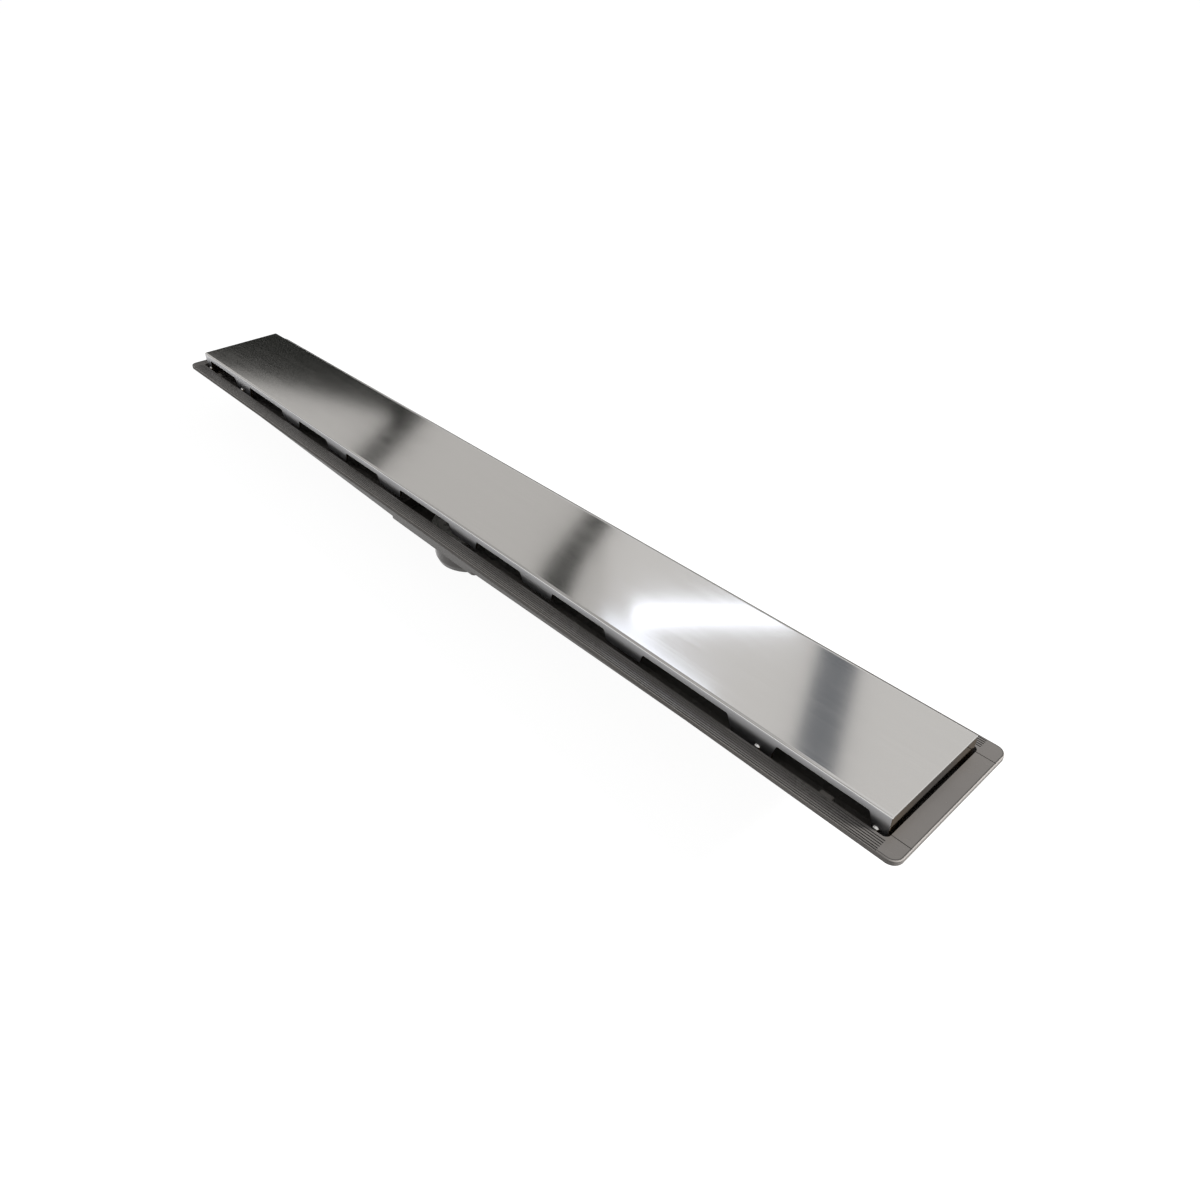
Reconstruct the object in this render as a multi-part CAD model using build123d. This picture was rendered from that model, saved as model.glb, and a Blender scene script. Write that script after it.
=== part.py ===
from build123d import *
import os

# Linear shower drain: a moulded channel with a tiling flange and an outlet under its middle,
# a folded sheet cover that stands in the channel on eight feet, and a drop-in dry trap.
# Millimetres. The origin is the centre of the outlet's lower end, +X runs along the channel
# and +Z points up out of the floor.

# Cover, one sheet folded along its sides and closed at its ends
cover_length = 650.0
cover_width = 63.4
cover_rise = 9.5  # top of the cover above the top of the flange
sheet = 1.2
fold_radius = 1.3  # outside of the long folds
end_edge = 0.4  # rounding of the welded and ground ends
strip_height = 4.4  # plain strip between the top and the water notches
skirt_depth = 10.5  # top of the cover down to the end skirts and the short legs
leg_width = 27.5  # at the top of the notches
leg_taper = 2.0  # each side of a leg, down to the level of the end skirts
corner_leg = 9.8  # corner foot, measured along the channel at the top of the notches
corner_foot = 11.0  # corner foot, measured across the channel
notch_radius = 1.2
foot_radius = 1.5
long_notch_ratio = 1.337  # long notches against short ones
end_notch_ratio = 1.152  # notches next to the corners against short ones
nub_radius = 1.8  # stamped nubs that centre the cover in the opening
nub_clearance = 1.25  # nub to the opening's long side
nub_drop = 2.6  # middle of a nub below the top of the flange
corner_nub = 5.6  # middle of the corner nub from the end of the cover
nub_dome = 0.8  # rise of a nub's dome against its radius
leg_nub = 9.75  # middle of a long leg's nub from the leg's outer side

# Channel, one moulding
side_gap = 2.75  # cover to opening, long sides
end_gap = 1.0  # cover to opening, ends
side_band = 7.9  # flange on the long sides
end_band = 9.5  # flange at the ends
flange_thickness = 2.8
flange_corner = 5.0
flange_edge = 0.7  # rounding of the flange's upper edge
opening_corner = 2.5
wall = 2.2
shelf_depth = 7.0  # top of the flange down to the shelf that carries the feet
shelf_width = 8.4  # from the opening's long side to the gutter
end_shelf = 13.0  # from the opening's end to the gutter
gutter_end_fall = 2.5  # gutter floor below the shelf at its shallow ends
gutter_mid_fall = 9.0  # gutter floor below the shelf at the middle of the channel
gutter_radius = 2.0
belly_depth = 6.0  # outer walls below the underside of the shelf, at the middle
belly_share = 0.875  # reach of the deep outer walls against the length of the gutter
sump_length = 93.0
sump_width = 63.0
sump_depth = 23.2  # top of the flange down to the underside of the sump
sump_corner = 3.4
outlet_diameter = 50.0
outlet_wall = 2.0
outlet_length = 19.3
outlet_chamfer = 1.2
outlet_lead = 3.5  # height of the tapered lead at the outlet's end
groove_count = 6
groove_pitch = 1.24
groove_width = 0.5
groove_depth = 0.3
groove_inset = 1.4  # first groove from the opening
score_width = 0.35  # lines across the end flanges, in line with the cover's sides
score_depth = 0.2
rib_pitch = 52.0
rib_thickness = 2.0
rib_share = 0.7  # ribs against the depth of the gutter beside them

# Dry trap, dropped into the outlet
trap_clearance = 0.4
trap_rim = 2.2  # rim of the insert past the outlet's bore
trap_rim_thickness = 2.5
trap_rim_edge = 0.6  # chamfer round the rim's upper edge
trap_wall = 2.6
trap_length = 15.5  # insert below its rim
seal_groove = 1.6
seal_height = 2.0
seal_lip = 0.6  # height of the seal's outer face
seal_clearance = 0.05
seal_drop = 5.0  # middle of the seal below the rim
spider_arms = 4
spider_arm_width = 2.4
spider_thickness = 3.0
hub_radius = 5.0
stem_radius = 2.2
stem_clearance = 0.1
bulb_radius = 3.2
bulb_height = 3.0
membrane_thickness = 1.2
membrane_inset = 0.6
membrane_dish = 1.6
strainer_recess = 2.0
strainer_ledge = 1.2
strainer_clearance = 0.3
slot_count = 16
slot_width = 2.2
slot_start = 7.5
slot_margin = 2.6
knob_radius = 3.6
knob_height = 7.0
knob_edge = 1.0

# Levels and sizes that follow from the values above
overlap = 1.0  # run of a cutting tool past the face it opens
flange_top = outlet_length + sump_depth
flange_under = flange_top - flange_thickness
shelf_level = flange_top - shelf_depth
shelf_under = shelf_level - wall
sump_level = outlet_length + wall
cover_top = flange_top + cover_rise
opening_length = cover_length + 2 * end_gap
opening_width = cover_width + 2 * side_gap
nub_height = side_gap - nub_clearance
flange_length = opening_length + 2 * end_band
flange_width = opening_width + 2 * side_band
gutter_half = opening_width / 2 - shelf_width
gutter_end = opening_length / 2 - end_shelf
bore_radius = outlet_diameter / 2 - outlet_wall


def rounded_block(length, width, radius, low, high):
    """Upright block with rounded vertical corners, centred on the outlet's axis."""
    plan = RectangleRounded(length, width, radius)
    return extrude(Plane.XY.offset(low) * plan, amount=high - low)


def top_edges(solid):
    """Edges that bound the highest face of a solid."""
    return solid.faces().sort_by(Axis.Z)[-1].edges()


def gutter(half_width, end_x, skin, top):
    """Gutter that falls from both ends of the channel to its middle, with a skin below its floor."""
    runs = []
    for fall, x in ((gutter_mid_fall, 0), (gutter_end_fall, end_x)):
        low = shelf_level - fall - skin
        section = Rectangle(2 * half_width, top - low)
        section = fillet(section.vertices().sort_by(Axis.Y)[:2], min(gutter_radius, (top - low) / 2))
        runs.append(Plane.YZ.offset(x) * Pos(0, (top + low) / 2) * section)
    half = loft(runs)
    return half + mirror(half, about=Plane.YZ)


def flange_grooves():
    """Fine grooves for the sealing tape along both long sides of the flange."""
    first = opening_width / 2 + groove_inset
    places = []
    for side in (-1, 1):
        for index in range(groove_count):
            places.append((0, side * (first + index * groove_pitch), flange_top))
    return Locations(*places) * Box(opening_length, groove_width, 2 * groove_depth)


def end_scores():
    """Score lines across both end flanges, in line with the sides of the cover."""
    low = opening_length / 2 - overlap
    high = flange_length / 2 + overlap
    places = []
    for end in (-1, 1):
        for side in (-1, 1):
            places.append((end * (low + high) / 2, side * cover_width / 2, flange_top))
    return Locations(*places) * Box(high - low, score_width, 2 * score_depth)


def gutter_fall(x):
    """Depth of the gutter's floor below the shelf at a distance from the middle."""
    return gutter_mid_fall + (gutter_end_fall - gutter_mid_fall) * abs(x) / gutter_end


def shelf_ribs():
    """Three-cornered ribs between the shelf's underside and the gutter, outside the sump."""
    inner = gutter_half + wall / 2
    outer = opening_width / 2
    top = shelf_under + wall / 2
    first = sump_length / 2 + rib_pitch / 2
    count = int((gutter_end - first) // rib_pitch) + 1
    ribs = []
    for end in (-1, 1):
        for index in range(count):
            x = end * (first + index * rib_pitch)
            low = shelf_under - rib_share * gutter_fall(x)
            outline = Polyline((inner, top), (outer, top), (outer, shelf_under), (inner, low), close=True)
            rib = extrude(Plane.YZ.offset(x) * make_face(outline), amount=rib_thickness / 2, both=True)
            ribs += [rib, mirror(rib, about=Plane.XZ)]
    return ribs


def deep_walls():
    """Outer walls run on below the shelf, deepest at the middle, with the fall of the gutter."""
    top = shelf_under + wall / 2
    reach = belly_share * gutter_end
    upper = [(-reach, top), (reach, top)]
    lower = [(reach, shelf_under), (0, shelf_under - belly_depth), (-reach, shelf_under)]
    outline = make_face(Polyline(*upper, *lower, close=True))
    front = extrude(Plane.XZ.offset(opening_width / 2) * outline, amount=wall)
    return [front, mirror(front, about=Plane.XZ)]


def make_channel():
    """Channel body: flange, shelves, falling gutter, sump and outlet in one moulding."""
    flange = rounded_block(flange_length, flange_width, flange_corner, flange_under, flange_top)
    flange = fillet(top_edges(flange), flange_edge)
    trough_length = opening_length + 2 * wall
    trough_width = opening_width + 2 * wall
    trough_top = flange_top - wall / 2
    trough = rounded_block(trough_length, trough_width, opening_corner + wall, shelf_under, trough_top)
    gutter_skin = gutter(gutter_half + wall, gutter_end + wall, wall, shelf_level - wall / 2)
    sump = rounded_block(sump_length, sump_width, sump_corner, outlet_length, shelf_level - wall / 2)
    outlet = Pos(0, 0, sump_level / 2) * Cylinder(outlet_diameter / 2, sump_level)
    outlet = chamfer(outlet.edges().sort_by(Axis.Z)[0], outlet_lead, outlet_chamfer)
    body = flange + trough + gutter_skin + sump + outlet
    body += shelf_ribs() + deep_walls()

    pocket = rounded_block(opening_length, opening_width, opening_corner, shelf_level, flange_top + overlap)
    gutter_space = gutter(gutter_half, gutter_end, 0, shelf_level + overlap)
    inside_length = sump_length - 2 * wall
    inside_width = sump_width - 2 * wall
    inside_corner = sump_corner - wall
    sump_space = rounded_block(inside_length, inside_width, inside_corner, sump_level, shelf_level + overlap)
    bore = Pos(0, 0, sump_level / 2) * Cylinder(bore_radius, sump_level + 2 * overlap)
    body -= pocket + gutter_space + sump_space + bore
    return body - flange_grooves() - end_scores()


def leg_pattern():
    """Middle of each leg on the +X half, and whether it is a long one, from the middle outwards."""
    free_run = cover_length / 2 - corner_leg - 4 * leg_width
    short_notch = free_run / (end_notch_ratio + 1.5 * long_notch_ratio + 2)
    long_notch = short_notch * long_notch_ratio
    legs = []
    start = long_notch / 2
    for gap_after, is_long in ((short_notch, False), (short_notch, False), (long_notch, False), (0, True)):
        legs.append((start + leg_width / 2, is_long))
        start += leg_width + gap_after
    return legs


def leg_outline(middle, width, depth):
    """One leg, narrowing to the level of the end skirts; a long one runs on straight from there."""
    half_top = width / 2
    half_low = half_top - leg_taper
    notch_top = cover_top - strip_height
    right = [(half_top, cover_top), (half_top, notch_top), (half_low, cover_top - skirt_depth)]
    if depth > skirt_depth:
        right.append((half_low, cover_top - depth))
    left = [(-x, y) for x, y in reversed(right)]
    return Pos(middle, 0) * make_face(Polyline(*right, *left, close=True))


def side_profile():
    """Side view of the cover: a strip with short legs, long legs and corner feet below it."""
    half = cover_length / 2
    foot_drop = cover_rise + shelf_depth
    profile = Pos(0, cover_top - strip_height / 2) * Rectangle(cover_length, strip_height)
    spans = []
    for middle, is_long in leg_pattern():
        spans.append((middle, leg_width, foot_drop if is_long else skirt_depth))
    spans.append((half, 2 * corner_leg, foot_drop))
    for side in (-1, 1):
        for middle, width, depth in spans:
            profile += leg_outline(side * middle, width, depth)
    inner = [v for v in profile.vertices() if abs(v.X) < half - overlap]
    notch_level = cover_top - strip_height
    profile = fillet([v for v in inner if v.Y > notch_level - overlap], notch_radius)
    inner = [v for v in profile.vertices() if abs(v.X) < half - overlap]
    return fillet([v for v in inner if v.Y < cover_top - skirt_depth + overlap], foot_radius)


def end_profile():
    """End view of the cover: a plain skirt between two corner feet."""
    foot_drop = cover_rise + shelf_depth
    profile = Pos(0, cover_top - skirt_depth / 2) * Rectangle(cover_width, skirt_depth)
    for side in (-1, 1):
        middle = side * (cover_width - corner_foot) / 2
        profile += Pos(middle, cover_top - foot_drop / 2) * Rectangle(corner_foot, foot_drop)
    inner = [v for v in profile.vertices() if abs(v.X) < cover_width / 2 - overlap]
    return fillet(inner, foot_radius)


def nub_places():
    """Nubs on the four corner feet and the four long legs, with the long side that each is on."""
    middles = [middle + leg_width / 2 - leg_nub for middle, is_long in leg_pattern() if is_long]
    middles.append(cover_length / 2 - corner_nub)
    return [(x_side * x, y_side) for x in middles for x_side in (-1, 1) for y_side in (-1, 1)]


def nub(radius, height):
    """Domed peg along +Z: the top of a ball on a short round base."""
    rise = min(radius, height) * nub_dome
    ball = (radius**2 + rise**2) / (2 * rise)
    base = extrude(Circle(radius), amount=height)
    return base & (Pos(0, 0, height - ball) * Sphere(ball))


def make_cover():
    """Cover: a sheet folded along both sides, closed at its ends, notched for the water, with nubs."""
    tall = cover_rise + shelf_depth
    section = Pos(0, cover_top - tall / 2) * Rectangle(cover_width, tall)
    section = fillet(section.vertices().sort_by(Axis.Y)[-2:], fold_radius)
    block = extrude(Plane.YZ * section, amount=cover_length / 2, both=True)
    ends = block.faces().sort_by(Axis.X)
    rims = ends[0].edges() + ends[-1].edges()
    block = fillet([edge for edge in rims if edge.center().Z > shelf_level + overlap], end_edge)
    inner_length = cover_length - 2 * sheet
    inner_width = cover_width - 2 * sheet
    lid = block - Pos(0, 0, cover_top - sheet - tall / 2) * Box(inner_length, inner_width, tall)
    lid &= extrude(Plane.XZ * side_profile(), amount=cover_width, both=True)
    lid &= extrude(Plane.YZ * end_profile(), amount=cover_length, both=True)

    for x, side in nub_places():
        facing = Plane((x, side * (cover_width / 2 - sheet), flange_top - nub_drop), z_dir=(0, side, 0))
        lid += facing * nub(nub_radius, sheet + nub_height)
        lid -= facing * nub(nub_radius - sheet / 2, nub_height)
    return lid


def make_trap_insert():
    """Insert: rim, tube with a seal groove, and a spider with a hub at its lower end."""
    outer = bore_radius - trap_clearance
    inner = outer - trap_wall
    low = sump_level - trap_length
    rim_top = sump_level + trap_rim_thickness
    rim = bore_radius + trap_rim
    recess = inner + strainer_ledge
    tube = Pos(0, 0, (low + rim_top) / 2) * Cylinder(outer, rim_top - low)
    plate = Pos(0, 0, sump_level + trap_rim_thickness / 2) * Cylinder(rim, trap_rim_thickness)
    plate = chamfer(plate.edges().sort_by(Axis.Z)[-1], trap_rim_edge)
    insert = tube + plate
    insert -= Pos(0, 0, (low + rim_top) / 2) * Cylinder(inner, rim_top - low + overlap)
    insert -= Pos(0, 0, rim_top) * Cylinder(recess, 2 * strainer_recess)
    groove_low, groove_high = seal_band()
    band = Pos(0, 0, (groove_low + groove_high) / 2) * Cylinder(bore_radius, groove_high - groove_low)
    insert -= band - Pos(0, 0, sump_level - seal_drop) * Cylinder(outer - seal_groove, 2 * trap_length)

    spider = Pos(0, 0, low + spider_thickness / 2) * Cylinder(hub_radius, spider_thickness)
    reach = inner + trap_wall / 2
    arm = Pos(reach / 2, 0, low + spider_thickness / 2) * Box(reach, spider_arm_width, spider_thickness)
    for index in range(spider_arms):
        spider += Rot(0, 0, index * 360 / spider_arms) * arm
    insert += spider
    return insert - Pos(0, 0, low) * Cylinder(stem_radius + stem_clearance, 4 * spider_thickness)


def seal_band():
    """Lower and upper face of the seal's groove."""
    middle = sump_level - seal_drop
    return middle - seal_height / 2, middle + seal_height / 2


def seal_seat():
    """Radius of the bottom of the seal's groove."""
    return bore_radius - trap_clearance - seal_groove


def make_trap_seal():
    """Rubber ring with a tapered lip, between the insert's groove and the outlet's bore."""
    low, high = seal_band()
    middle = (low + high) / 2
    inner = seal_seat() + seal_clearance
    outer = bore_radius - seal_clearance
    seat = [(inner, low + seal_clearance), (inner, high - seal_clearance)]
    lip = [(outer, middle + seal_lip / 2), (outer, middle - seal_lip / 2)]
    section = make_face(Polyline(*seat, *lip, close=True))
    return revolve(Plane.XZ * section, axis=Axis.Z)


def make_trap_membrane():
    """Soft dished disc that closes the insert from below, held by a bulb above the hub."""
    low = sump_level - trap_length
    edge = bore_radius - trap_clearance - membrane_inset
    hub_top = low + spider_thickness
    bulb_top = hub_top + bulb_height
    dish_low = low - membrane_thickness - membrane_dish
    bulb = [(0, bulb_top), (bulb_radius / 2, bulb_top), (bulb_radius, hub_top)]
    stem = [(stem_radius, hub_top), (stem_radius, low)]
    dish = [(edge, low), (edge, low - membrane_thickness / 2), (hub_radius, dish_low), (0, dish_low)]
    section = make_face(Polyline(*bulb, *stem, *dish, close=True))
    return revolve(Plane.XZ * section, axis=Axis.Z)


def make_hair_strainer():
    """Slotted disc with a pull knob, dropped into the mouth of the insert."""
    inner = bore_radius - trap_clearance - trap_wall
    radius = inner + strainer_ledge - strainer_clearance
    rim_top = sump_level + trap_rim_thickness
    disc = Pos(0, 0, rim_top - strainer_recess / 2) * Cylinder(radius, strainer_recess)
    reach = inner - slot_margin - slot_start
    slot = extrude(SlotOverall(reach, slot_width), amount=strainer_recess + overlap, both=True)
    for index in range(slot_count):
        turn = Rot(0, 0, index * 360 / slot_count)
        disc -= Pos(0, 0, rim_top) * turn * Pos(slot_start + reach / 2, 0) * slot
    knob = Pos(0, 0, rim_top + knob_height / 2 - strainer_recess / 2) * Cylinder(
        knob_radius, knob_height + strainer_recess
    )
    knob = chamfer(knob.edges().sort_by(Axis.Z)[-1], knob_edge)
    return disc + knob


nodes = {
    "channel_body": make_channel,
    "cover": make_cover,
    "trap_insert": make_trap_insert,
    "trap_seal": make_trap_seal,
    "trap_membrane": make_trap_membrane,
    "hair_strainer": make_hair_strainer,
}

os.makedirs("parts", exist_ok=True)
for name, make in nodes.items():
    piece = make()
    export_step(piece, f"parts/{name}.step")
    print(name, "volume", round(piece.volume / 1000, 2), "cm3")
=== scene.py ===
# %% [markdown]
# # A linear drain and its finishes
# The drain comes to this script as six finished solids: a moulded channel, a folded steel cover and
# the four pieces of a dry trap. Their shapes stay as they are, so this lesson is about surfaces, light
# and the camera, with one small piece of its own. Everything is in metres, with +X along the channel
# and +Z up.

# %% Load the solids
import math

import bmesh
import bpy
from mathutils import Matrix, Vector


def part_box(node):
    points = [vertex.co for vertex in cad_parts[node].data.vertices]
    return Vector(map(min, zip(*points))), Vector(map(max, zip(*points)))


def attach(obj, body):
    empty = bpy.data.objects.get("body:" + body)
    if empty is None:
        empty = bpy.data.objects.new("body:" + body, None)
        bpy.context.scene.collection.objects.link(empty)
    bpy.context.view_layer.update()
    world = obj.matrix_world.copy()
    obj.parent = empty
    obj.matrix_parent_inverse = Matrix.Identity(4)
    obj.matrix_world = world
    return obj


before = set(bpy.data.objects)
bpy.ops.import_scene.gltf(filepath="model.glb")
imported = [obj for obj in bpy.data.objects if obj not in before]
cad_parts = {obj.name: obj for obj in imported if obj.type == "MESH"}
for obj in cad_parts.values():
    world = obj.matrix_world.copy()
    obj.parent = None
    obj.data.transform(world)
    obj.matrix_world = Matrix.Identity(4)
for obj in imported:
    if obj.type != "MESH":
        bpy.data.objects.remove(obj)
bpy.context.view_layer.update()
MM = 0.001
print("pieces:", sorted(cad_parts))

# %% [markdown]
# ## Levels that the finishes need
# A finish often depends on where it sits: the cover's top is what the room is mirrored in, and the
# flange is where fine grooves catch the light. Reading these levels from the solids means that they
# follow if the drain is ever made longer or taller.

# %% Measure the cover and the channel
cover_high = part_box("cover")[1]
channel_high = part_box("channel_body")[1]
cover_top = cover_high.z
flange_top = channel_high.z
print(f"cover's top at {cover_top:.4f} m, flange at {flange_top:.4f} m")

# %% [markdown]
# ## The camera
# The picture is taken from close by with a wide lens, so the near end comes out about twice as large
# as the far one. A longer lens from further away would give the same direction but lose that drama.
# The place is given from the middle of the cover's top, and the view by the way the lens points. The
# direction to the right is trued up against it, so that the camera's axes stay square.

# %% Place the camera
def place_object(name, data):
    """Makes an object from its data and adds it to the scene."""
    made = bpy.data.objects.new(name, data)
    bpy.context.scene.collection.objects.link(made)
    return made


cover_middle = Vector((0.0, 0.0, cover_top))
camera_offset = Vector((412.9, -256.4, 270.6)) * MM
lens_forward = Vector((-0.59586, 0.52716, -0.60589)).normalized()
rough_right = Vector((0.67186, 0.7405, -0.01643))
lens_right = (rough_right - lens_forward * rough_right.dot(lens_forward)).normalized()
lens_up = lens_right.cross(lens_forward)

camera_data = bpy.data.cameras.new("portrait")
camera_data.sensor_width = 36.0
camera_data.lens = 26.37
camera_data.clip_start = 10 * MM
camera = place_object("portrait", camera_data)
turn = Matrix((lens_right, lens_up, -lens_forward)).transposed().to_4x4()
camera.matrix_world = Matrix.Translation(cover_middle + camera_offset) @ turn
bpy.context.scene.camera = camera
print("camera at", [round(v, 3) for v in camera.location])

# %% [markdown]
# ## Building node trees by name
# A material is a small graph. A few helpers keep the graphs readable: one adds a node and sets its
# sockets by name, others do sums and soft steps, and the last two open and place a node group with
# named sockets. A socket value that is itself a socket becomes a link, so a whole finish reads from
# top to bottom like a recipe.

# %% Helpers for nodes and their sockets
def put(tree, socket, value):
    """Sets one input: links it if the value is a socket, else writes the plain value."""
    if isinstance(value, bpy.types.NodeSocket):
        tree.links.new(value, socket)
    else:
        socket.default_value = value


def add(tree, kind, settings=None, **sockets):
    """Adds a node; settings are its properties, sockets its inputs, with _ for a space in a name."""
    node = tree.nodes.new(kind)
    for name, value in (settings or {}).items():
        setattr(node, name, value)
    for name, value in sockets.items():
        put(tree, node.inputs[name.replace("_", " ")], value)
    return node


def surface_place(tree):
    """Where the shaded point lies in the drain's own frame."""
    return tree.nodes.new("ShaderNodeTexCoord").outputs["Object"]


def surface_normal(tree):
    """The way the surface points, before any bevel or bump."""
    return tree.nodes.new("ShaderNodeNewGeometry").outputs["Normal"]


def split(tree, vector):
    """The X, Y and Z of a vector, by name."""
    return add(tree, "ShaderNodeSeparateXYZ", Vector=vector).outputs


print("helpers: nodes and sockets")

# %% Helpers for sums, soft steps and blends
def math_node(tree, operation, first, second=0.0, clamp=False):
    """Adds a Math node and returns its result."""
    node = add(tree, "ShaderNodeMath", {"operation": operation, "use_clamp": clamp})
    put(tree, node.inputs[0], first)
    put(tree, node.inputs[1], second)
    return node.outputs[0]


def vector_node(tree, operation, first, second):
    """Adds a Vector Math node and returns its outputs."""
    node = add(tree, "ShaderNodeVectorMath", {"operation": operation})
    put(tree, node.inputs[0], first)
    put(tree, node.inputs[1], second)
    return node.outputs


def size_of(tree, value):
    """The value without its sign."""
    return math_node(tree, "ABSOLUTE", value)


def fade(tree, value, low, high):
    """A soft step: 0 below the low value, 1 above the high one."""
    step = add(tree, "ShaderNodeMapRange", {"interpolation_type": "SMOOTHSTEP"}, Value=value,
               From_Min=low, From_Max=high)
    return step.outputs[0]


def stretch(tree, value, span, result):
    """Carries a value from one span of numbers to another in a straight line."""
    ends = {"From_Min": span[0], "From_Max": span[1], "To_Min": result[0], "To_Max": result[1]}
    return add(tree, "ShaderNodeMapRange", Value=value, **ends).outputs[0]


def blend_colour(tree, factor, first, second, way="MIX"):
    """Mixes two colours and returns the result."""
    settings = {"data_type": "RGBA", "blend_type": way}
    return add(tree, "ShaderNodeMix", settings, Factor=factor, A=first, B=second).outputs["Result"]


print("helpers: sums, steps and blends")

# %% Helpers for node groups
FLOAT = "NodeSocketFloat"
VECTOR = "NodeSocketVector"


def open_group(name, inputs, outputs):
    """Starts a shader node group with float inputs; returns its tree, its inputs and its outputs."""
    tree = bpy.data.node_groups.new(name, "ShaderNodeTree")
    for label, value in inputs.items():
        socket = tree.interface.new_socket(label, in_out="INPUT", socket_type=FLOAT)
        socket.default_value = value
    for label, kind in outputs.items():
        tree.interface.new_socket(label, in_out="OUTPUT", socket_type=kind)
    return tree, tree.nodes.new("NodeGroupInput").outputs, tree.nodes.new("NodeGroupOutput").inputs


def place_group(tree, group, **values):
    """Places a finished group in a material with its own values; returns the group's outputs."""
    return add(tree, "ShaderNodeGroup", {"node_tree": group}, **values).outputs


print("helpers: groups")

# %% [markdown]
# ## Effect: softened edges
# No moulding or cut sheet has a perfectly sharp edge: a thin line of light runs along each one. It
# could be modelled as a fillet on every edge, but that costs thousands of faces. The Bevel node bends
# only the shading normal within a small radius. Where the bent normal leaves the surface's own, there
# is an edge, and the same comparison gives a mask for wear.

# %% Group: softened edges
def make_soft_edges():
    mask_gain = 5.0
    tree, given, result = open_group(
        "softened edges", {"Radius": 0.3 * MM}, {"Normal": VECTOR, "Edge": FLOAT}
    )
    bevel = add(tree, "ShaderNodeBevel", {"samples": 6}, Radius=given["Radius"])
    alike = vector_node(tree, "DOT_PRODUCT", bevel.outputs["Normal"], surface_normal(tree))["Value"]
    turned = math_node(tree, "SUBTRACT", 1.0, alike)
    put(tree, result["Normal"], bevel.outputs["Normal"])
    put(tree, result["Edge"], math_node(tree, "MULTIPLY", turned, mask_gain, clamp=True))
    return tree


soft_edges = make_soft_edges()
print("group:", soft_edges.name)

# %% [markdown]
# ## Effect: handling marks
# Parts that have been unpacked and set down carry faint smears and a little dust. Two noises at
# different scales, multiplied, give patches that come and go. Only the mask leaves the group; each
# finish decides how far it dulls the gloss.

# %% Group: handling marks
def make_handling_marks():
    specks_per_patch = 7.0
    faint_to_full = (0.18, 0.38)
    tree, given, result = open_group("handling marks", {"Scale": 30.0, "Stretch": 1.0}, {"Mask": FLOAT})
    squeeze = add(tree, "ShaderNodeCombineXYZ", X=given["Stretch"], Y=1.0, Z=1.0)
    place = vector_node(tree, "MULTIPLY", surface_place(tree), squeeze.outputs[0])[0]
    patches = add(tree, "ShaderNodeTexNoise", Vector=place, Scale=given["Scale"], Detail=5.0,
                  Roughness=0.55)
    fine_scale = math_node(tree, "MULTIPLY", given["Scale"], specks_per_patch)
    specks = add(tree, "ShaderNodeTexNoise", Vector=place, Scale=fine_scale, Detail=3.0)
    both = math_node(tree, "MULTIPLY", patches.outputs[0], specks.outputs[0])
    put(tree, result["Mask"], stretch(tree, both, faint_to_full, (0.0, 1.0)))
    return tree


handling_marks = make_handling_marks()
print("group:", handling_marks.name)

# %% [markdown]
# ## Effect: moulded skin
# A steel mould leaves its own skin on the plastic: a fine spark-eroded pebble, and a slow drift of
# tone where the melt flowed. Real pebbles would be millions of faces, so the pebble is a height for
# the Bump node and the drift is a tone around 1 that multiplies the colour.

# %% Group: moulded skin
def make_moulded_skin():
    usual_noise = (0.3, 0.7)
    tones = (0.93, 1.07)
    tree, given, result = open_group(
        "moulded skin", {"Pebble": 1.0 / MM, "Drift": 12.0}, {"Height": FLOAT, "Tone": FLOAT}
    )
    place = surface_place(tree)
    pebble = add(tree, "ShaderNodeTexNoise", Vector=place, Scale=given["Pebble"], Detail=2.0)
    flow = add(tree, "ShaderNodeTexNoise", Vector=place, Scale=given["Drift"], Detail=4.0, Distortion=0.6)
    put(tree, result["Height"], pebble.outputs[0])
    put(tree, result["Tone"], stretch(tree, flow.outputs[0], usual_noise, tones))
    return tree


moulded_skin = make_moulded_skin()
print("group:", moulded_skin.name)
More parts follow.
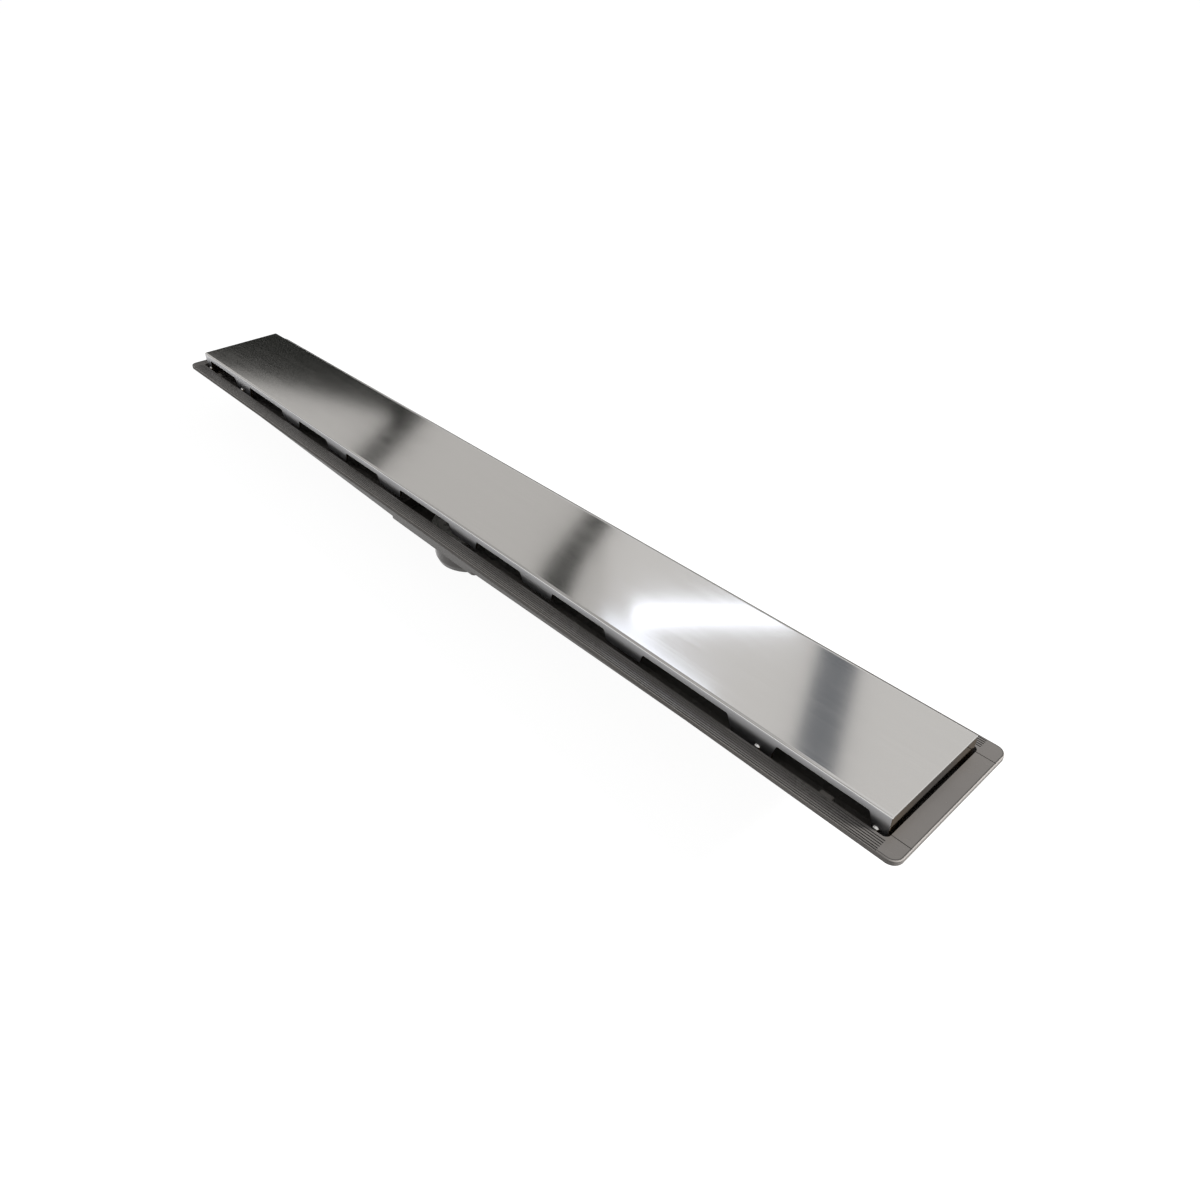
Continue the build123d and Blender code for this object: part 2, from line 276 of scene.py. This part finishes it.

# %% [markdown]
# ## Effect: outline light and shade
# A low bead runs round the outer edge of the flange. Its top gets a painted highlight, a dark line of
# painted shade lies along its inner side, and the outer face below it is painted a little darker as
# painted shade. Masks for all three need the distance to a rectangle with rounded corners. Folding the
# plan into one quarter and moving it inwards by the corner's radius turns that into the length of a
# vector: the same trick that draws rounded buttons. A step in height parts the bead from the outer
# face below it.

# %% Group: outline light and shade
def make_outline_light_and_shade():
    softness = 0.2 * MM
    sizes = {"Half Length": 1.0, "Half Width": 1.0, "Corner": 5.0 * MM, "Bead Width": 0.8 * MM,
             "Line Width": 0.5 * MM, "Lowest": 0.0}
    tree, given, result = open_group("outline light and shade", sizes, {"Bead": FLOAT, "Line": FLOAT, "Side": FLOAT})
    point = split(tree, surface_place(tree))
    squares = []
    for axis, half in (("X", "Half Length"), ("Y", "Half Width")):
        inner = math_node(tree, "SUBTRACT", given[half], given["Corner"])
        run = math_node(tree, "SUBTRACT", size_of(tree, point[axis]), inner)
        squares.append(math_node(tree, "POWER", math_node(tree, "MAXIMUM", run, 0.0), 2.0))
    distance = math_node(tree, "SQRT", math_node(tree, "ADD", *squares))

    bead_start = math_node(tree, "SUBTRACT", given["Corner"], given["Bead Width"])
    line_start = math_node(tree, "SUBTRACT", bead_start, given["Line Width"])
    bead = fade(tree, distance, bead_start, math_node(tree, "ADD", bead_start, softness))
    shade_line = math_node(tree, "SUBTRACT", fade(tree, distance, line_start, bead_start), bead)
    upper = fade(tree, point["Z"], given["Lowest"], math_node(tree, "ADD", given["Lowest"], softness))
    top_of_bead = math_node(tree, "MULTIPLY", bead, upper)
    put(tree, result["Bead"], top_of_bead)
    put(tree, result["Line"], math_node(tree, "MULTIPLY", shade_line, upper))
    put(tree, result["Side"], math_node(tree, "SUBTRACT", bead, top_of_bead))
    return tree


outline_light_and_shade = make_outline_light_and_shade()
print("group:", outline_light_and_shade.name)

# %% [markdown]
# ## Effect: painted groove shade
# The fine grooves are painted dark near both ends of the part, as painted shade in the grooves. The
# mask takes what lies a little below a given level, and only near both ends of the part.

# %% Group: painted groove shade
def make_painted_groove_shade():
    groove_starts = (0.05 * MM, 0.2 * MM)
    groove_stops = (0.5 * MM, 0.7 * MM)
    end_reach = (18 * MM, 50 * MM)
    tree, given, result = open_group("painted groove shade", {"Level": 0.0, "Half Length": 1.0}, {"Mask": FLOAT})
    point = split(tree, surface_place(tree))
    depth = math_node(tree, "SUBTRACT", given["Level"], point["Z"])
    below_rim = fade(tree, depth, *groove_starts)
    in_groove = math_node(tree, "SUBTRACT", below_rim, fade(tree, depth, *groove_stops))
    to_end = math_node(tree, "SUBTRACT", given["Half Length"], size_of(tree, point["X"]))
    near_end = math_node(tree, "SUBTRACT", 1.0, fade(tree, to_end, *end_reach))
    put(tree, result["Mask"], math_node(tree, "MULTIPLY", in_groove, near_end))
    return tree


painted_groove_shade = make_painted_groove_shade()
print("group:", painted_groove_shade.name)

# %% [markdown]
# ## Finish: stainless steel
# The cover is cold-rolled sheet. Its top was polished along its length, so the room shows in it,
# clear but soft, with the faint lines of the polishing belt. The belt never touched the long sides:
# the strip below the fold keeps the cooler satin of the mill. Below it the legs are painted a darker,
# bluish grey, as painted shade where they face the dark flange. The closed ends carry a painted
# reflection: near black in the middle where they mirror the dark gap, brown towards the corners where
# they mirror the lit flange. All of it is one sheet, so one material tells the zones apart by the way
# a face points and by its level. Metal gets its colour from its reflection, so the top's base colour
# is the steel's own grey.

# %% Zones of the steel
def steel_zones(tree, place):
    """Masks of the cover's long faces, the strip below its fold, the closed ends, and how far the painted
    reflection on the ends has turned brown.
    """
    faces_sideways = (0.93, 0.995)
    faces_endways = (0.6, 0.9)
    strip_levels = (cover_top - 8.0 * MM, cover_top - 4.0 * MM)
    below_the_edge = (0.7 * MM, 1.5 * MM)
    # How far from the middle the painted reflection on the ends turns from black to brown.
    brown_reflection_reach = (0.1 * cover_high.y, cover_high.y)

    facing = split(tree, surface_normal(tree))
    point = split(tree, place)
    long_sides = fade(tree, size_of(tree, facing["Y"]), *faces_sideways)
    strip = fade(tree, point["Z"], *strip_levels)
    endways = fade(tree, size_of(tree, facing["X"]), *faces_endways)
    depth = math_node(tree, "SUBTRACT", cover_top, point["Z"])
    closed_ends = math_node(tree, "MULTIPLY", endways, fade(tree, depth, *below_the_edge))
    brown_reflection_share = fade(tree, size_of(tree, point["Y"]), *brown_reflection_reach)
    return long_sides, strip, closed_ends, brown_reflection_share


print("steel zones: long sides, strip, closed ends, welds")

# %% Material: stainless steel
belt_lines = (9.0, 2200.0, 2200.0)
belt_line_noise = (0.3, 0.7)
polished_roughness = (0.085, 0.105)
satin_roughness = (0.36, 0.5)
smear_roughness = 0.015
steel_colours = {
    "belt dark": (0.545, 0.535, 0.52, 1.0),
    "belt pale": (0.585, 0.575, 0.56, 1.0),
    # The legs colour is painted shade: darker and bluish where the legs face the dark flange.
    "legs": (0.36, 0.365, 0.38, 1.0),
    "strip": (0.63, 0.63, 0.64, 1.0),
    # The ends colours are painted reflection: near black where the gap is mirrored, brown where the lit
    # flange is.
    "ends": (0.16, 0.14, 0.125, 1.0),
    "brown_end_reflection": (0.32, 0.235, 0.14, 1.0),
}


def new_finish(name, metallic):
    """Starts a material; returns it with its node tree and its shader's inputs."""
    material = bpy.data.materials.new(name)
    material.use_nodes = True
    shader = material.node_tree.nodes["Principled BSDF"].inputs
    shader["Metallic"].default_value = metallic
    return material, material.node_tree, shader


def stainless_steel():
    material, tree, shader = new_finish("stainless_steel", 1.0)
    place = surface_place(tree)
    along = add(tree, "ShaderNodeMapping", Vector=place, Scale=belt_lines)
    noise = add(tree, "ShaderNodeTexNoise", Vector=along.outputs[0], Scale=1.0, Detail=3.0, Roughness=0.5)
    grain = noise.outputs[0]
    marks = place_group(tree, handling_marks, Scale=14.0, Stretch=0.35)
    edges = place_group(tree, soft_edges, Radius=0.25 * MM)
    long_sides, strip, closed_ends, brown_reflection_share = steel_zones(tree, place)

    smears = math_node(tree, "MULTIPLY", marks["Mask"], smear_roughness)
    belted = stretch(tree, grain, belt_line_noise, polished_roughness)
    polished = math_node(tree, "ADD", belted, smears)
    satin = stretch(tree, strip, (0.0, 1.0), satin_roughness)
    gloss = add(tree, "ShaderNodeMix", Factor=long_sides, A=polished, B=satin)
    put(tree, shader["Roughness"], gloss.outputs["Result"])

    top = blend_colour(tree, grain, steel_colours["belt dark"], steel_colours["belt pale"])
    # The long faces are painted darker towards the bottom, as painted shade over the satin steel.
    sides_painted_darker_below = blend_colour(tree, strip, steel_colours["legs"], steel_colours["strip"])
    # Painted reflection on the closed ends: near black in the middle, brown towards the corners.
    ends = blend_colour(tree, brown_reflection_share, steel_colours["ends"], steel_colours["brown_end_reflection"])
    sheet = blend_colour(tree, long_sides, top, sides_painted_darker_below)
    put(tree, shader["Base Color"], blend_colour(tree, closed_ends, sheet, ends))

    bump = add(tree, "ShaderNodeBump", Strength=0.006, Distance=0.05 * MM, Height=grain,
               Normal=edges["Normal"])
    put(tree, shader["Normal"], bump.outputs[0])
    return material


steel = stainless_steel()
print("material:", steel.name)

# %% [markdown]
# ## Finish: moulded plastics
# The channel, the insert and the strainer are the same kind of thing in different greys: a satin
# moulding with its edges rubbed a little paler. The soft seal and membrane are moulded too. One
# function makes all of them, and each passes its own colour, roughness and size of pebble. Only the
# channel has the painted outline light and shade and the painted shade in its grooves, so both are
# left out where no outline is given.

# %% Material: moulded plastic
side_painted_shade_tone = 0.9
painted_shade_tone = 0.2
# Paler tone for worn edges, and also for the painted highlight on the flange's bead.
wear_and_highlight_tone = 2.0
mark_roughness = 0.12
side_roughness = 0.6


def toned(colour, tone):
    """A colour made darker or paler, with its alpha."""
    return tuple(min(1.0, level * tone) for level in colour) + (1.0,)


def moulded_plastic(name, colour, roughness, pebble_size, pebble_depth, edge_paler, outline=None):
    material, tree, shader = new_finish(name, 0.0)
    skin = place_group(tree, moulded_skin, Pebble=1.0 / pebble_size)
    marks = place_group(tree, handling_marks, Scale=22.0)
    edges = place_group(tree, soft_edges, Radius=0.15 * MM)

    body = blend_colour(tree, 1.0, toned(colour, 1.0), skin["Tone"], "MULTIPLY")
    # Edges paler from wear; the bead's painted highlight is added to this below.
    wear_and_highlight = math_node(tree, "MULTIPLY", edges["Edge"], edge_paler)
    rough = stretch(tree, marks["Mask"], (0.0, 1.0), (roughness, roughness + mark_roughness))
    if outline:
        # Painted highlight on the bead's top, painted shade along its inner side and on the outer face
        # below it.
        outline_light_shade = place_group(tree, outline_light_and_shade, **outline)
        groove_shade = place_group(tree, painted_groove_shade, Level=flange_top, Half_Length=channel_high.x)
        painted_dark_lines = math_node(tree, "MAXIMUM", groove_shade["Mask"], outline_light_shade["Line"])
        body = blend_colour(tree, outline_light_shade["Side"], body, toned(colour, side_painted_shade_tone))
        # Painted shade: darker in the grooves near the ends and along the bead's inner side.
        body = blend_colour(tree, painted_dark_lines, body, toned(colour, painted_shade_tone))
        wear_and_highlight = math_node(tree, "MAXIMUM", wear_and_highlight, outline_light_shade["Bead"])
        rough = math_node(tree, "ADD", rough, math_node(tree, "MULTIPLY", outline_light_shade["Side"], side_roughness))
    put(tree, shader["Base Color"], blend_colour(tree, wear_and_highlight, body, toned(colour, wear_and_highlight_tone)))
    put(tree, shader["Roughness"], rough)

    bump = add(tree, "ShaderNodeBump", Strength=0.1, Distance=pebble_depth, Height=skin["Height"],
               Normal=edges["Normal"])
    put(tree, shader["Normal"], bump.outputs[0])
    return material


print("moulded plastic: ready for its colours")

# %% Colours of the plastics
grey = (0.166, 0.154, 0.144)
# The lugs' grey is painted paler than the channel's, as painted light in the cover's shade.
lug_grey_painted_lighter = tuple(level * 1.35 for level in grey)
pale_grey = (0.8, 0.79, 0.75)
rubber_black = (0.028, 0.028, 0.03)
milky_grey = (0.6, 0.6, 0.58)
flange_outline = {
    "Half_Length": channel_high.x,
    "Half_Width": channel_high.y,
    "Bead_Width": 0.55 * MM,
    "Line_Width": 0.6 * MM,
    "Lowest": flange_top - 0.6 * MM,
}
grey_plastic = moulded_plastic("grey_plastic", grey, 0.22, 0.7 * MM, 0.02 * MM, 0.35, flange_outline)
lug_grey_painted_light = moulded_plastic("lug_grey_painted_light", lug_grey_painted_lighter, 0.3, 0.7 * MM, 0.02 * MM, 0.35)
pale_plastic = moulded_plastic("pale_plastic", pale_grey, 0.42, 0.5 * MM, 0.03 * MM, 0.1)
black_rubber = moulded_plastic("black_rubber", rubber_black, 0.6, 0.35 * MM, 0.03 * MM, 0.2)
silicone = moulded_plastic("silicone", milky_grey, 0.5, 0.4 * MM, 0.02 * MM, 0.05)
plastics = [grey_plastic, lug_grey_painted_light, pale_plastic, black_rubber, silicone]
print("materials:", [plastic.name for plastic in plastics])

# %% [markdown]
# ## Dressing the solids
# Each solid keeps its own mesh. Its old material slot is emptied and takes the finish that the real
# piece has, so the seal stays rubber and the membrane stays silicone even where they hardly show.

# %% Assign the finishes
finishes = {
    "channel_body": grey_plastic,
    "cover": steel,
    "trap_insert": pale_plastic,
    "trap_seal": black_rubber,
    "trap_membrane": silicone,
    "hair_strainer": pale_plastic,
}
for node_name, finish in finishes.items():
    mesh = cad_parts[node_name].data
    mesh.materials.clear()
    mesh.materials.append(finish)
    print(node_name, "wears", finish.name)

# %% [markdown]
# ## Locating lugs
# Four short lugs stand on the opening's long walls, in the notches next to the cover's corners, and
# help to keep the cover in the middle. They are plain blocks with eased edges, so a scaled cube with
# a bevel on all its edges makes each one. They go a hair into the wall, so that no light shows behind
# them. Their grey is painted paler than the channel's, as painted light where they stand in the
# cover's shade.

# %% Piece: locating lugs
lug_size = Vector((6.2, 2.5, 6.9)) * MM
lug_from_middle = 297 * MM
lug_below_flange = 0.1 * MM
lug_into_wall = 0.2 * MM
lug_edge = 0.3 * MM
flange_side_band = 7.9 * MM


def locating_lugs():
    wall_side = channel_high.y - flange_side_band + lug_into_wall
    height = flange_top - lug_below_flange - lug_size.z / 2
    shape = bmesh.new()
    for end in (-1, 1):
        for side in (-1, 1):
            middle = Vector((end * lug_from_middle, side * (wall_side - lug_size.y / 2), height))
            bmesh.ops.create_cube(shape, size=1.0, matrix=Matrix.LocRotScale(middle, None, lug_size))
    bmesh.ops.bevel(shape, geom=shape.edges[:], offset=lug_edge, segments=2, affect="EDGES")
    mesh = bpy.data.meshes.new("locating_lugs")
    shape.to_mesh(mesh)
    shape.free()
    mesh.materials.append(lug_grey_painted_light)
    piece = place_object("locating_lugs", mesh)
    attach(piece, "root")
    return piece


lugs = locating_lugs()
print("piece:", lugs.name, "with", len(lugs.data.polygons), "faces")

# %% [markdown]
# ## The floor
# The drain stands on its outlet on a pale floor that runs out to white. An ordinary white floor turns
# grey wherever light is missing, so to the eye and in mirrors the floor is mostly its own white, with
# a share of real shading left over for the shadow. To all other light it is a plain pale surface. Its
# underside is clear, so that the drain can be looked at from below.

# %% Helpers for the floor and the cards
def seen_directly(tree):
    """1 for rays that come from the lens, a mirror or a clear body; 0 for scattered light."""
    path = tree.nodes.new("ShaderNodeLightPath").outputs
    lens_or_mirror = math_node(tree, "MAXIMUM", path["Is Camera Ray"], path["Is Glossy Ray"])
    return math_node(tree, "MAXIMUM", lens_or_mirror, path["Is Transmission Ray"])


def mix_shaders(tree, factor, first, second):
    """Blends two shaders and returns the result."""
    mixed = tree.nodes.new("ShaderNodeMixShader")
    for socket, value in zip(mixed.inputs, (factor, first, second)):
        put(tree, socket, value)
    return mixed.outputs[0]


def stage_sheet(name, corners):
    """A flat sheet that isn't part of the drain; returns it with its node tree and its surface socket."""
    mesh = bpy.data.meshes.new(name)
    mesh.from_pydata(corners, [], [tuple(range(len(corners)))])
    material = bpy.data.materials.new(name)
    material.use_nodes = True
    tree = material.node_tree
    tree.nodes.clear()
    mesh.materials.append(material)
    sheet = place_object(name, mesh)
    return sheet, tree, tree.nodes.new("ShaderNodeOutputMaterial").inputs["Surface"]


print("helpers: stage sheets")

# %% Floor and its material
floor_half = 15.0
floor_colour = (0.86, 0.86, 0.86, 1.0)
own_white_level = 1.33
own_white_share = 0.7


def make_floor():
    half = floor_half
    corners = [(-half, -half, 0), (half, -half, 0), (half, half, 0), (-half, half, 0)]
    sheet, tree, surface = stage_sheet("floor", corners)
    shaded = add(tree, "ShaderNodeBsdfDiffuse", Color=floor_colour)
    white = add(tree, "ShaderNodeEmission", Color=(1.0, 1.0, 1.0, 1.0), Strength=own_white_level)
    clear = add(tree, "ShaderNodeBsdfTransparent")
    from_below = tree.nodes.new("ShaderNodeNewGeometry").outputs["Backfacing"]
    share = math_node(tree, "MULTIPLY", seen_directly(tree), own_white_share)
    from_above = mix_shaders(tree, share, shaded.outputs[0], white.outputs[0])
    put(tree, surface, mix_shaders(tree, from_below, from_above, clear.outputs[0]))
    return sheet


floor = make_floor()
print("stage:", floor.name)

# %% [markdown]
# ## The room in the steel
# A flat polished plate has no look of its own: it shows whatever stands where the eye is bounced to.
# Photographers hang pale walls, black flags and a bright strip around such a thing. The bounced eye
# sits as far below the plate as the lens is above it, so each card is drawn by the directions of its
# corners from that mirrored point. A card's colour is only a tint, and its strength makes it a pale
# wall, a black flag or a bright strip. The last two cards are grey: they stand where the rounded fold
# looks, and keep its line of light narrow. The cards are seen in mirrors alone: the lens looks through
# them, and they neither light nor shade anything.

# %% Make a card
mirrored_eye = camera.location.copy()
mirrored_eye.z = 2 * cover_top - mirrored_eye.z


def direction(azimuth, elevation):
    """Unit vector; azimuth turns from +X towards +Y, elevation rises from the horizon, in degrees."""
    a = math.radians(azimuth)
    e = math.radians(elevation)
    return Vector((math.cos(a) * math.cos(e), math.sin(a) * math.cos(e), math.sin(e)))


def card(name, distance, corners, colour, strength):
    """A flat card whose corners lie in the given directions from the mirrored eye."""
    points = [mirrored_eye + direction(*corner) * distance for corner in corners]
    sheet, tree, surface = stage_sheet(name, points)
    glow = add(tree, "ShaderNodeEmission", Color=(*colour, 1.0), Strength=strength)
    put(tree, surface, glow.outputs[0])
    sheet.visible_camera = False
    sheet.visible_diffuse = False
    sheet.visible_shadow = False
    sheet.visible_transmission = False
    return sheet


print("mirrored eye at", [round(v, 3) for v in mirrored_eye])

# %% Cards around the cover
wall_distance = 9.0
flag_distance = 2.6
strip_distance = 2.2
warm_white = (1.0, 0.985, 0.965)
plain_white = (1.0, 0.99, 0.98)
daylight = (0.92, 0.97, 1.09)
black_cloth = (0.95, 1.0, 0.92)
blue_cloth = (0.9, 0.96, 1.06)

cards = [
    card("wall", wall_distance, [(136, 6), (185, 6), (185, 62), (136, 62)], warm_white, 0.75),
    card("near_wall", wall_distance, [(95, 6), (140, 6), (140, 62), (95, 62)], plain_white, 0.91),
    card("far_flag", flag_distance, [(149, 3), (182, 3), (182, 10.5), (151, 25)], black_cloth, 0.025),
    card("left_flag", flag_distance, [(148, 23.1), (148.8, 22), (159.2, 28.9), (158.4, 30.3)],
         black_cloth, 0.015),
    card("middle_flag", flag_distance,
         [(134.6, 29), (136.8, 29), (142.7, 34.7), (147.4, 41), (143.5, 41), (139.7, 34.7)],
         black_cloth, 0.038),
    card("right_flag", flag_distance, [(117, 36), (120.1, 36), (121.6, 50), (117.2, 50)], blue_cloth, 0.24),
    card("strip_low", strip_distance, [(135.8, 37.7), (122, 36.9), (122, 37.9), (130, 38.6), (135.8, 38.9)],
         daylight, 3.9),
    card("strip_side", strip_distance, [(138.3, 38.2), (136.8, 38.8), (129, 43.1), (129, 47), (138.3, 47)],
         daylight, 2.2),
    card("over_flag", flag_distance, [(143, 66), (211, 67), (195, 38), (168, 38)], plain_white, 0.45),
    card("side_flag", flag_distance, [(184, 9), (250, 12), (250, 48), (184, 48)], plain_white, 0.6),
]
print("cards:", [piece.name for piece in cards])

# %% [markdown]
# ## Light
# Plain soft light: an even white world and one soft key lamp. The key stands low behind the near
# end, so the cover shades the flange in front of it and the near end's flange is lit. Together they
# come to about the level at which a colour looks as it is written. To the lens and in mirrors the
# world is plain white.

# %% The white world
scattered_light = 0.3


def white_world():
    world = bpy.data.worlds.new("white_room")
    bpy.context.scene.world = world
    world.use_nodes = True
    tree = world.node_tree
    background = tree.nodes["Background"].inputs
    background["Color"].default_value = (1.0, 1.0, 1.0, 1.0)
    level = stretch(tree, seen_directly(tree), (0.0, 1.0), (scattered_light, 1.0))
    put(tree, background["Strength"], level)
    return world


room = white_world()
bpy.context.scene.view_settings.view_transform = "Standard"
print("world:", room.name)

# %% The key lamp
key_aim = Vector((cover_high.x, 0.0, cover_top))
key_direction = direction(32, 28)
key_distance = 1.6
key_size = 0.25
key_watts = 42.0


def key_lamp():
    data = bpy.data.lights.new("key", "AREA")
    data.shape = "RECTANGLE"
    data.size = key_size
    data.size_y = key_size
    data.energy = key_watts
    lamp = place_object("key", data)
    lamp.location = key_aim + key_direction * key_distance
    lamp.rotation_mode = "QUATERNION"
    lamp.rotation_quaternion = (-key_direction).to_track_quat("-Z", "Y")
    lamp.visible_glossy = False
    return lamp


key = key_lamp()
print("lamp:", key.name, [round(v, 2) for v in key.location])
